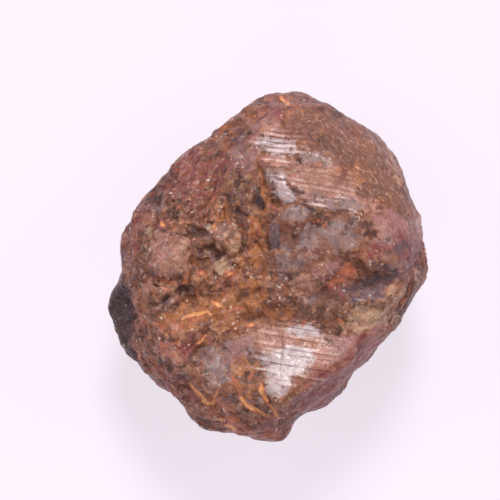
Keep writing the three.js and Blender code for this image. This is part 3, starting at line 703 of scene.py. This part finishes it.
colouring = {
    "pigmentHardness": 0.45,
    "steepFacing": (0.25, 0.80),     # the broken sides face up no further than this
    "sideCalm": 0.4,
    "sideShare": 0.65,               # off the drawing, the same colours follow broad waves
    "sideShown": (0.10, 0.75),       # of those waves
    "sideWaves": {                   # wave in mm, seed
        "crimson": (2.6, 60), "rust": (2.2, 61), "ochre": (2.9, 62), "olive": (3.3, 63), "blush": (2.4, 64),
        "mauve": (2.6, 65), "slate": (2.8, 66), "silver": (3.1, 67), "shade": (3.4, 68), "umber": (3.0, 69),
        "ash": (2.5, 70), "plumAndShade": (2.8, 71),
    },
}


def placeColours(plan):
    masks = {name: patches(wander, rows, plan["pigmentHardness"]) * upper for name, rows in pigments.items()}
    for name, (where, hardness, rows) in features.items():
        masks[name] = patches(where, rows, hardness) * upper
    for name, filling in fillings.items():
        masks[name] = np.maximum(masks[name], filling * upper)
    for name, (wave, seed) in plan["sideWaves"].items():
        spread = smooth(*plan["sideShown"], roughness(base, wave, seed))
        masks[name] = np.maximum(masks[name], (1 - upper) * plan["sideShare"] * spread)
    masks["calm"] = np.maximum(calm, plan["sideCalm"] * (1 - upper))
    masks["steep"] = 1 - smooth(*plan["steepFacing"], normals[:, 2])
    masks["tone"] = tone
    masks["crease"] = crease
    return masks


def meshFrom(name, points, quads, masks):
    mesh = bpy.data.meshes.new(name)
    mesh.from_pydata((points * mm).tolist(), [], quads.tolist())
    mesh.polygons.foreach_set("use_smooth", [True] * len(mesh.polygons))
    for key, values in masks.items():
        mesh.attributes.new(key, "FLOAT", "POINT").data.foreach_set("value", values.astype(np.float32))
    stone = bpy.data.objects.new(name, mesh)
    scene.collection.objects.link(stone)
    return stone


stone = meshFrom("ruby_skin", points, quads, placeColours(colouring))
print("colours are placed")


# Node boards
class Board:                      # puts down nodes and wires them in one go
    def __init__(self, tree):
        self.tree = tree

    def put(self, kind, inputs=None, **settings):
        node = self.tree.nodes.new(kind)
        for name, value in settings.items():
            setattr(node, name, value)
        for key, value in (inputs or {}).items():
            if isinstance(value, bpy.types.NodeSocket):
                self.tree.links.new(value, node.inputs[key])
            else:
                node.inputs[key].default_value = value
        return node

    def sum(self, operation, *values, clamp=False):
        node = self.put("ShaderNodeMath", dict(enumerate(values)), operation=operation, use_clamp=clamp)
        return node.outputs[0]

    def vector(self, operation, *values, **inputs):
        inputs.update(enumerate(values))
        return self.put("ShaderNodeVectorMath", inputs, operation=operation).outputs

    def ramp(self, value, low, high, toLow=0.0, toHigh=1.0, smoothly=True):
        kind = "SMOOTHSTEP" if smoothly else "LINEAR"
        inputs = {0: value, 1: low, 2: high, 3: toLow, 4: toHigh}
        return self.put("ShaderNodeMapRange", inputs, interpolation_type=kind).outputs[0]

    def add(self, start, value, amount, clamp=False):     # start plus that amount of the value
        return self.sum("MULTIPLY_ADD", value, amount, start, clamp=clamp)

    def sway(self, start, value, amount):                 # the same, where a value of 0.5 changes nothing
        return self.add(start, self.sum("SUBTRACT", value, 0.5), amount)

    def both(self, *shares):
        share = shares[0]
        for other in shares[1:]:
            share = self.sum("MULTIPLY", share, other)
        return share


# Lined parting faces and grain
lineWork = {
    "line spacing": 0.47 * mm, "line depth": 0.060 * mm, "across lines": (0.165, 0.983, -0.08),
    "wander": 0.10, "grain size": 0.28 * mm, "grain depth": 0.040 * mm, "seed": 4.0,
}
# The lines are counted across the face: a whole number is the middle of a groove, and a half is that of a
# ridge. An edge is given in those counts. The other ramps are low, high, and the value at each.
linePlan = {
    "bendScale": 420, "fadeScale": 900, "detail": 2.0,                   # waves in a metre
    "grooveEdge": (0.22, 0.03), "grooveStrength": (0, 1, 0.25, 1), "grooveFade": (0.36, 0.56, 0.25, 1),
    "fineLines": 2.37, "fineEdge": (0.24, 0.04), "fineDepth": 0.20,      # finer lines between them
    # the ridge ramps place the painted highlight streaks on the ridges
    "ridgeEdge": (0.12, 0.38), "ridgeStrength": (0.15, 0.85, 0.15, 1), "ridgeFade": (0.40, 0.60, 1, 0.15),
    "ridgeSeed": 0.37,
    "calmGrain": -0.55,              # how the grain's depth changes where the stone is calm
}


# The mesh and the finish both use this. It gives the ridges' height, from 0 to 1, and where the painted
# highlight streaks lie on them.
def linePattern(board, place, given, plan):
    def wave(scale):
        inputs = {"Vector": place, "Scale": scale, "Detail": plan["detail"]}
        return board.put("ShaderNodeTexNoise", inputs).outputs[0]

    def own(number):              # every groove and ridge has its own strength
        return board.put("ShaderNodeTexWhiteNoise", {"W": number}, noise_dimensions="1D").outputs["Value"]

    along = board.vector("DOT_PRODUCT", place, given["across lines"])["Value"]
    count = board.sum("DIVIDE", along, given["line spacing"])
    count = board.add(count, wave(plan["bendScale"]), given["wander"])
    count = board.sum("ADD", count, given["seed"])
    fade = wave(plan["fadeScale"])                   # and comes and goes along its length

    fromGroove = board.sum("PINGPONG", count, 0.5)
    strength = board.ramp(own(board.sum("ROUND", count)), *plan["grooveStrength"], smoothly=False)
    deep = board.both(strength, board.ramp(fade, *plan["grooveFade"]))
    groove = board.both(board.ramp(fromGroove, *plan["grooveEdge"]), deep)
    fineCount = board.sum("PINGPONG", board.sum("MULTIPLY", count, plan["fineLines"]), 0.5)
    fineGroove = board.ramp(fineCount, *plan["fineEdge"])
    height = board.sum("SUBTRACT", 1.0, board.add(groove, fineGroove, plan["fineDepth"]))

    ridge = board.sum("ADD", board.sum("FLOOR", count), plan["ridgeSeed"])
    bright = board.both(board.ramp(own(ridge), *plan["ridgeStrength"]), board.ramp(fade, *plan["ridgeFade"]))
    return height, board.both(board.ramp(fromGroove, *plan["ridgeEdge"]), bright)


def makeLineTree(plan):
    tree = bpy.data.node_groups.new("lined_faces_and_grain", "GeometryNodeTree")
    face = tree.interface
    face.new_socket("Geometry", in_out="INPUT", socket_type="NodeSocketGeometry")
    for name, value in lineWork.items():
        kind = "NodeSocketVector" if name == "across lines" else "NodeSocketFloat"
        face.new_socket(name, in_out="INPUT", socket_type=kind).default_value = value
    face.new_socket("material", in_out="INPUT", socket_type="NodeSocketMaterial")
    face.new_socket("Geometry", in_out="OUTPUT", socket_type="NodeSocketGeometry")
    board = Board(tree)
    given = board.put("NodeGroupInput").outputs
    place = board.put("GeometryNodeInputPosition").outputs[0]
    normal = board.put("GeometryNodeInputNormal").outputs[0]
    lined, calm = [board.put("GeometryNodeInputNamedAttribute", {"Name": name}, data_type="FLOAT").outputs[0]
                   for name in ("lined", "calm")]
    height = board.both(linePattern(board, place, given, plan)[0], lined)

    # grain: fine everywhere, weaker where the stone is calm
    size = board.sum("DIVIDE", 1.0, given["grain size"])
    inputs = {"Vector": place, "Scale": size, "Detail": plan["detail"], "W": given["seed"]}
    grain = board.put("ShaderNodeTexNoise", inputs, noise_dimensions="4D").outputs[0]
    depth = board.both(board.add(1.0, calm, plan["calmGrain"]), given["grain depth"])
    grain = board.both(board.sum("SUBTRACT", grain, 0.5), depth)
    level = board.put("ShaderNodeSeparateXYZ", {0: place}).outputs["Z"]
    lift = board.ramp(level, *[height * mm for height in placing["lift"]])
    rise = board.both(board.add(grain, height, given["line depth"]), lift)

    offset = board.vector("SCALE", normal, Scale=rise)[0]
    shape = given["Geometry"]
    for kind, inputs in (("GeometryNodeSetPosition", {"Offset": offset}),
                         ("GeometryNodeRealizeInstances", {}),
                         ("GeometryNodeSetMaterial", {"Material": given["material"]})):
        shape = board.put(kind, {"Geometry": shape, **inputs}).outputs[0]
    board.put("NodeGroupOutput", {"Geometry": shape})
    return tree


def applyLineWork(stone, material):
    tree = makeLineTree(linePlan)
    modifier = stone.modifiers.new("lined_faces_and_grain", "NODES")
    modifier.node_group = tree
    sockets = {item.name: item.identifier for item in tree.interface.items_tree if item.in_out == "INPUT"}
    for name, value in lineWork.items():
        modifier[sockets[name]] = value
    modifier[sockets["material"]] = material
    result = bpy.data.meshes.new_from_object(stone.evaluated_get(bpy.context.evaluated_depsgraph_get()))
    stone.modifiers.remove(modifier)
    stone.data = result


# The ruby's finish. Waves, sizes and heights are in mm. A ramp is low, high and, where they aren't 0 and 1,
# the shares at those. An edge is how ragged it is, then low, high and the most that shows.
finish = {
    "colours": {
        # deep is the dark brown under everything and the painted shade in deep hollows; speck is dark crumbs
        # and the painted shade in creases
        "deep": (0.070, 0.018, 0.010), "brown": (0.205, 0.064, 0.033), "tan": (0.38, 0.158, 0.090),
        "crimson": (0.215, 0.039, 0.041), "rust": (0.46, 0.120, 0.060), "ochre": (0.40, 0.138, 0.044),
        "umber": (0.178, 0.072, 0.046), "ash": (0.300, 0.210, 0.212), "plumAndShade": (0.102, 0.051, 0.068),
        "olive": (0.58, 0.365, 0.240), "blush": (0.47, 0.228, 0.172), "mauve": (0.34, 0.152, 0.152),
        "slate": (0.150, 0.102, 0.118), "silver": (0.65, 0.535, 0.545), "paintedGleam": (0.88, 0.74, 0.73),
        "paintedGlint": (0.84, 0.62, 0.50), "steepShade": (0.80, 0.50, 0.42), "shade": (0.030, 0.010, 0.014),
        "paintedRosyGleam": (0.83, 0.59, 0.53), "garnet": (0.46, 0.175, 0.172), "amber": (0.80, 0.36, 0.13),
        "fleck": (0.66, 0.375, 0.235), "speck": (0.042, 0.016, 0.012),
    },
    "clouds": {                      # wave, detail and, where it isn't 0, seed
        "broad": (1.4, 2.0, 12.0), "middling": (1.1, 3.0), "fine": (0.50, 3.0), "grain": (0.22, 2.0),
        "dust": (0.12, 1.0),
    },
    "strokes": {                     # wave, detail, seed, stretch, turn
        "streaks": (0.45, 3.0, 0.0, 5.0, -9), "wallStreaks": (0.40, 2.0, 0.0, 6.0, 38),
        "slant": (0.20, 2.0, 0.0, 4.0, -42), "counterSlant": (0.20, 2.0, 3.0, 4.0, 40),
    },
    # crystals, each with its own shade and its own flat face: size, and how steeply the faces lean
    "crumbs": (0.46, 0.42), "chips": (0.20, 0.46),
    "crystalBend": (0.8, 1.0),       # waves to a crystal, and detail
    # dark and pale brown, under everything else
    "mottle": {"tone": 0.30, "crumb": 0.16, "calm": 0.05, "ramp": (0.34, 0.60)},
    "tanSpots": {"chip": 0.14, "tone": 0.25, "ramp": (0.50, 0.74, 0.0, 0.75)},
    # what covers what, from the bottom up: wave of its ragged edge, raggedness, and how much shows at most
    "coats": {
        "umber": (1.1, 1.6, 0.75), "olive": (0.9, 1.7, 0.85), "mauve": (0.9, 1.7, 0.85),
        "crimson": (0.9, 1.9, 0.90), "slate": (0.8, 1.5, 0.80), "ash": (0.9, 1.4, 0.80),
        "plumAndShade": (1.0, 1.3, 0.90), "blush": (0.7, 1.7, 0.85), "ochre": (0.7, 1.9, 0.90),
        "rust": (0.6, 1.9, 0.85),
    },
    "coatEdge": {"detail": 2.0, "fine": (0.24, 1.0), "fineShare": 0.30, "crumb": 0.20, "level": 0.25,
                 "ramp": (0.34, 0.78)},
    "silver": {"crumb": 0.16, "edge": (1.9, 0.30, 0.95), "share": 0.85},
    "greying": {"crumb": 0.3, "edge": (1.6, 0.45, 0.85)},
    # rust dust gathers in hollows and worn rises are paler; deep hollows, creases and pits get painted shade
    "dustEdge": (0.9, 0.30, 1.0, 0.45), "riseEdge": (1.2, 0.25, 1.0, 0.40), "hollowShadeRamp": (0.25, 1, 0, 0.50),
    "creaseEdge": (1.6, 0.35, 0.9, 0.30), "shadeEdge": (1.1, 0.30, 1.0, 0.92), "shadeChip": 0.15,
    "steepShare": 0.8,               # painted shade: the steep sides are multiplied darker red
    # how much lighter or darker the crystals and the noises make it, less of it where the stone is calm
    "shading": {"crumb": 0.26, "chip": 0.30, "level": 0.78, "broad": 0.9}, "calmShading": -0.50,
    "tintInShade": (0.25, 0.90, 1.0, 0.25),          # crumb tints fade under the painted shade, so it stays dark
    "tints": [                       # a few crumbs have their own tint: which number, colour, ramp
        (1, "fleck", (0.78, 0.98, 0.0, 0.34)), (1, "speck", (0.20, 0.02, 0.0, 0.32)),
        (2, "ochre", (0.74, 0.95, 0.0, 0.26)), (2, "mauve", (0.24, 0.05, 0.0, 0.32)),
    ],
    # thin pale needles cross on the sandy slope, and soft pale bands run along the broken wall, partly its
    # pink layered edges and partly painted highlight
    "needles": ((0.56, 0.68), (0.60, 0.72)), "needleShare": (0.35, 0.60, 0.3, 0.75),
    "gaps": ((0.44, 0.32), (0.40, 0.28)), "gapShare": (0.35, 0.60, 0.2, 0.60),
    "wallRamp": (0.50, 0.72, 0.0, 0.55),
    # the lined faces: painted highlight on the ridges, painted highlight streaks, and painted shade in the
    # grooves
    "paintedShineEdge": (1.2, 0.55, 1.05, 0.60), "paintedStreakEdge": (1.2, 0.25, 0.80, 0.85),
    "grooveShadeRamp": (0.85, 0.20, 0.0, 0.55),
    # rust round the amber slivers and spots, and painted glints on a few chips
    "amberRim": (1.0, 0.10, 0.45, 0.9), "amberEdge": (1.3, 0.50, 1.05, 0.95),
    "glintRamp": (0.958, 0.978, 0.0, 0.70), "glintPlaces": (0.45, 0.60),
    # roughness: worn faces shine, and rust and hollows are dull
    "gloss": {"chip": 0.4, "ramp": (0.45, 0.95, 0.52, 0.24), "silver": -0.06, "lined": -0.05, "ochre": 0.08,
              "hollow": (-0.3, 0.8, 0.0, 0.22)},
    "ior": 1.52,
    "heights": {"fine": 0.054, "dust": 0.018, "grain": 0.040, "needles": 0.030, "lines": 0.054},
}


class StoneBoard(Board):          # with the noises, crystals and places that the finish's layers share
    def __init__(self, tree, plan):
        super().__init__(tree)
        self.colours = plan["colours"]
        self.place = self.put("ShaderNodeTexCoord").outputs["Object"]
        self.noise = {name: self.cloud(*row) for name, row in {**plan["clouds"], **plan["strokes"]}.items()}
        *self.crumbs, self.crumbFace = self.crystals(*plan["crumbs"], *plan["crystalBend"])
        *self.chips, self.chipFace = self.crystals(*plan["chips"], *plan["crystalBend"])
        self.mask = {name: self.put("ShaderNodeAttribute", attribute_name=name).outputs["Fac"]
                     for name in (*pigments, *features, "calm", "tone", "crease", "steep", *hollowPlan)}
        self.loud = self.add(1.0, self.mask["calm"], plan["calmShading"])
        self.lineHeight, self.lineHighlight = linePattern(self, self.place, lineWork, linePlan)

    def cloud(self, wave, detail, seed=0.0, stretch=None, turn=0.0, roughness=0.6):
        spot = self.place
        if stretch:
            inputs = {"Vector": spot, "Rotation": (0, 0, math.radians(turn)), "Scale": (stretch, 1, 1)}
            spot = self.put("ShaderNodeMapping", inputs, vector_type="TEXTURE").outputs[0]
        inputs = {"Vector": spot, "Scale": 1 / (wave * mm), "Detail": detail, "W": seed}
        inputs["Roughness"] = roughness
        return self.put("ShaderNodeTexNoise", inputs, noise_dimensions="4D").outputs[0]

    def crystals(self, size, lean, bendScale, bendDetail):
        # each crystal's three own numbers, and the height of its leaning face
        middle = (0.5, 0.5, 0.5)
        inputs = {"Vector": self.place, "Scale": bendScale / (size * mm), "Detail": bendDetail}
        bend = self.put("ShaderNodeTexNoise", inputs).outputs[1]
        bend = self.vector("SUBTRACT", bend, middle)[0]
        spot = self.vector("MULTIPLY_ADD", bend, (size * mm,) * 3, self.place)[0]
        cells = self.put("ShaderNodeTexVoronoi", {"Vector": spot, "Scale": 1 / (size * mm)}).outputs
        own = self.put("ShaderNodeSeparateColor", {0: cells["Color"]}).outputs
        away = self.vector("SUBTRACT", spot, cells["Position"])[0]
        fall = self.vector("DOT_PRODUCT", away, self.vector("SUBTRACT", cells["Color"], middle)[0])["Value"]
        return *own[:3], self.sum("MULTIPLY", fall, lean / mm)

    def paint(self, share, under, over, how="MIX"):           # a colour is a socket or a name
        under, over = [(*self.colours[c], 1) if isinstance(c, str) else c for c in (under, over)]
        node = self.put("ShaderNodeMix", {0: share, 6: under, 7: over}, data_type="RGBA", blend_type=how)
        return node.outputs[2]

    def breakUp(self, mask, grain, amount, low, high, most=1.0):      # a soft mask gets a fine ragged edge
        return self.ramp(self.sway(mask, grain, amount), low, high, 0.0, most)


def groundColour(board, plan):
    noise, mask = board.noise, board.mask
    dark, spots = plan["mottle"], plan["tanSpots"]
    mottle = board.add(noise["middling"], mask["tone"], dark["tone"])
    mottle = board.sway(mottle, board.crumbs[0], dark["crumb"])
    mottle = board.add(mottle, mask["calm"], dark["calm"])
    colour = board.paint(board.ramp(mottle, *dark["ramp"]), "deep", "brown")
    tan = board.sway(noise["fine"], board.chips[0], spots["chip"])
    tan = board.add(tan, mask["tone"], spots["tone"])
    return board.paint(board.ramp(tan, *spots["ramp"]), colour, "tan")


def coatColours(board, plan, colour):
    rim = plan["coatEdge"]
    for seed, (name, (wave, raggedness, most)) in enumerate(plan["coats"].items(), 1):
        edge, fine = board.cloud(wave, rim["detail"], seed), board.cloud(*rim["fine"], seed + 0.5)
        edge = board.add(edge, fine, rim["fineShare"])
        edge = board.add(edge, board.crumbs[(seed + 1) % 2], rim["crumb"])
        edge = board.sum("SUBTRACT", edge, rim["level"])
        share = board.breakUp(board.mask[name], edge, raggedness, *rim["ramp"], most)
        colour = board.paint(share, colour, name)
    return colour


def silverFilm(board, plan):                  # how much of it shows, and its colour
    film, grey, mask = plan["silver"], plan["greying"], board.mask["silver"]
    streaks = board.sway(board.noise["streaks"], board.crumbs[1], film["crumb"])
    specks = board.add(board.noise["fine"], board.crumbs[0], grey["crumb"])
    pale = board.breakUp(mask, specks, *grey["edge"])
    return board.breakUp(mask, streaks, *film["edge"]), board.paint(pale, "slate", "silver")


def hollowColours(board, plan, colour):
    fine, mask, hollow = board.noise["fine"], board.mask, board.mask["hollowFine"]
    rise = board.sum("MULTIPLY", hollow, -1.0)
    colour = board.paint(board.breakUp(hollow, fine, *plan["dustEdge"]), colour, "ochre")
    colour = board.paint(board.breakUp(rise, fine, *plan["riseEdge"]), colour, "tan")
    # painted shade: the deep hollows, the creases and the shade mask are darkened
    colour = board.paint(board.ramp(mask["hollowWide"], *plan["hollowShadeRamp"]), colour, "deep")
    colour = board.paint(board.breakUp(mask["crease"], fine, *plan["creaseEdge"]), colour, "speck")
    grain = board.add(fine, board.chips[0], plan["shadeChip"])
    colour = board.paint(board.breakUp(mask["shade"], grain, *plan["shadeEdge"]), colour, "shade")
    # painted shade: the steep sides are multiplied darker red
    steep = board.sum("MULTIPLY", mask["steep"], plan["steepShare"])
    return board.paint(steep, colour, "steepShade", "MULTIPLY")


def crystalColours(board, plan, colour):
    noise, crumbs, amount = board.noise, board.crumbs, plan["shading"]
    shade = board.add(noise["grain"], board.chips[1], amount["chip"])
    shade = board.add(shade, crumbs[0], amount["crumb"])
    shade = board.add(1.0, board.sum("SUBTRACT", shade, amount["level"]), board.loud)
    shade = board.sway(shade, noise["broad"], amount["broad"])
    colour = board.vector("SCALE", colour, Scale=shade)[0]
    tinted = board.both(board.loud, board.ramp(board.mask["shade"], *plan["tintInShade"]))
    for which, name, ramp in plan["tints"]:
        colour = board.paint(board.both(board.ramp(crumbs[which], *ramp), tinted), colour, name)
    return colour


def slopeColours(board, plan, colour):
    noise, sandy = board.noise, board.mask["sandy"]
    for ramps, share, name in (("needles", "needleShare", "fleck"), ("gaps", "gapShare", "deep")):
        ways = [board.ramp(noise[way], *ramp) for way, ramp in zip(("slant", "counterSlant"), plan[ramps])]
        places = board.ramp(noise["middling"], *plan[share])
        colour = board.paint(board.both(board.sum("MAXIMUM", *ways), sandy, places), colour, name)
    bands = board.both(board.ramp(noise["wallStreaks"], *plan["wallRamp"]), board.mask["wall"])
    return board.paint(bands, colour, "garnet")


def linedColours(board, plan, colour, silver):
    noise, lined = board.noise, board.mask["lined"]
    # painted highlight on the ridges and in streaks, and painted shade in the grooves
    ridgeHighlight = board.both(board.breakUp(board.lineHeight, noise["fine"], *plan["paintedShineEdge"]), lined, silver)
    colour = board.paint(ridgeHighlight, colour, "silver")
    streaks = board.breakUp(board.lineHighlight, noise["grain"], *plan["paintedStreakEdge"])
    streaks = board.both(streaks, board.mask["paintedStreaks"])
    colour = board.paint(streaks, colour, board.paint(silver, "paintedRosyGleam", "paintedGleam"))
    groove = board.both(board.ramp(board.lineHeight, *plan["grooveShadeRamp"]), lined)
    return board.paint(groove, colour, board.paint(silver, "brown", "slate"))


def spotColours(board, plan, colour):
    grain, amber = board.noise["grain"], board.mask["amber"]
    colour = board.paint(board.breakUp(amber, grain, *plan["amberRim"]), colour, "rust")
    colour = board.paint(board.breakUp(amber, grain, *plan["amberEdge"]), colour, "amber")
    # painted glints on a few chips
    glints = board.ramp(board.chips[0], *plan["glintRamp"])
    places = board.ramp(board.noise["middling"], *plan["glintPlaces"])
    return board.paint(board.both(glints, places, board.loud), colour, "paintedGlint")


def glossOf(board, plan, silver):
    mask = board.mask
    gloss = board.ramp(board.add(board.noise["grain"], board.chips[0], plan["chip"]), *plan["ramp"])
    gloss = board.add(gloss, silver, plan["silver"])
    gloss = board.add(gloss, mask["lined"], plan["lined"])
    gloss = board.sum("ADD", board.ramp(mask["hollowFine"], *plan["hollow"]), gloss)
    return board.add(gloss, mask["ochre"], plan["ochre"], clamp=True)


def heightOf(board, plan):
    noise, mask = board.noise, board.mask
    height = board.add(board.sum("MULTIPLY", noise["fine"], plan["fine"]), noise["dust"], plan["dust"])
    height = board.add(height, noise["grain"], plan["grain"])
    height = board.add(height, board.both(noise["slant"], mask["sandy"]), plan["needles"])
    height = board.sum("ADD", board.sum("ADD", board.crumbFace, board.chipFace), height)
    height = board.sum("MULTIPLY", height, board.loud)
    return board.add(height, board.both(board.lineHeight, mask["lined"]), plan["lines"])


def makeRubyFinish(plan):
    material = bpy.data.materials.new("weathered_ruby")
    material.use_nodes = True
    tree = material.node_tree
    shader = tree.nodes["Principled BSDF"]
    board = StoneBoard(tree, plan)
    silver, greyed = silverFilm(board, plan)
    colour = coatColours(board, plan, groundColour(board, plan))
    colour = board.paint(board.sum("MULTIPLY", silver, plan["silver"]["share"]), colour, greyed)
    colour = hollowColours(board, plan, colour)
    colour = crystalColours(board, plan, colour)
    colour = slopeColours(board, plan, colour)
    colour = linedColours(board, plan, colour, silver)
    colour = spotColours(board, plan, colour)
    height = heightOf(board, plan["heights"])
    bump = board.put("ShaderNodeBump", {"Strength": 1.0, "Distance": mm, "Height": height}).outputs[0]
    tree.links.new(colour, shader.inputs["Base Color"])
    tree.links.new(glossOf(board, plan["gloss"], silver), shader.inputs["Roughness"])
    tree.links.new(bump, shader.inputs["Normal"])
    shader.inputs["IOR"].default_value = plan["ior"]
    return material


# Hollows and rises, for the finish: rounds of evening out, and the depth in mm that counts as 1
hollowPlan = {"hollowFine": (6, 0.035), "hollowWide": (60, 0.22)}


def storeHollows(stone, plan):
    mesh = stone.data
    place = np.empty(len(mesh.vertices) * 3)
    mesh.vertices.foreach_get("co", place)
    place = place.reshape(-1, 3) / mm
    outwards = normalsOf(place, quads)
    for name, (rounds, depth) in plan.items():
        mean = evened(place, edges, len(place), rounds)
        below = np.clip(((mean - place) * outwards).sum(1) / depth, -1, 1)
        mesh.attributes.new(name, "FLOAT", "POINT").data.foreach_set("value", below.astype(np.float32))


applyLineWork(stone, makeRubyFinish(finish))
print("lines and grain are raised")
storeHollows(stone, hollowPlan)
print("hollows are measured")

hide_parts("rough_ruby")
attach(stone, "root")
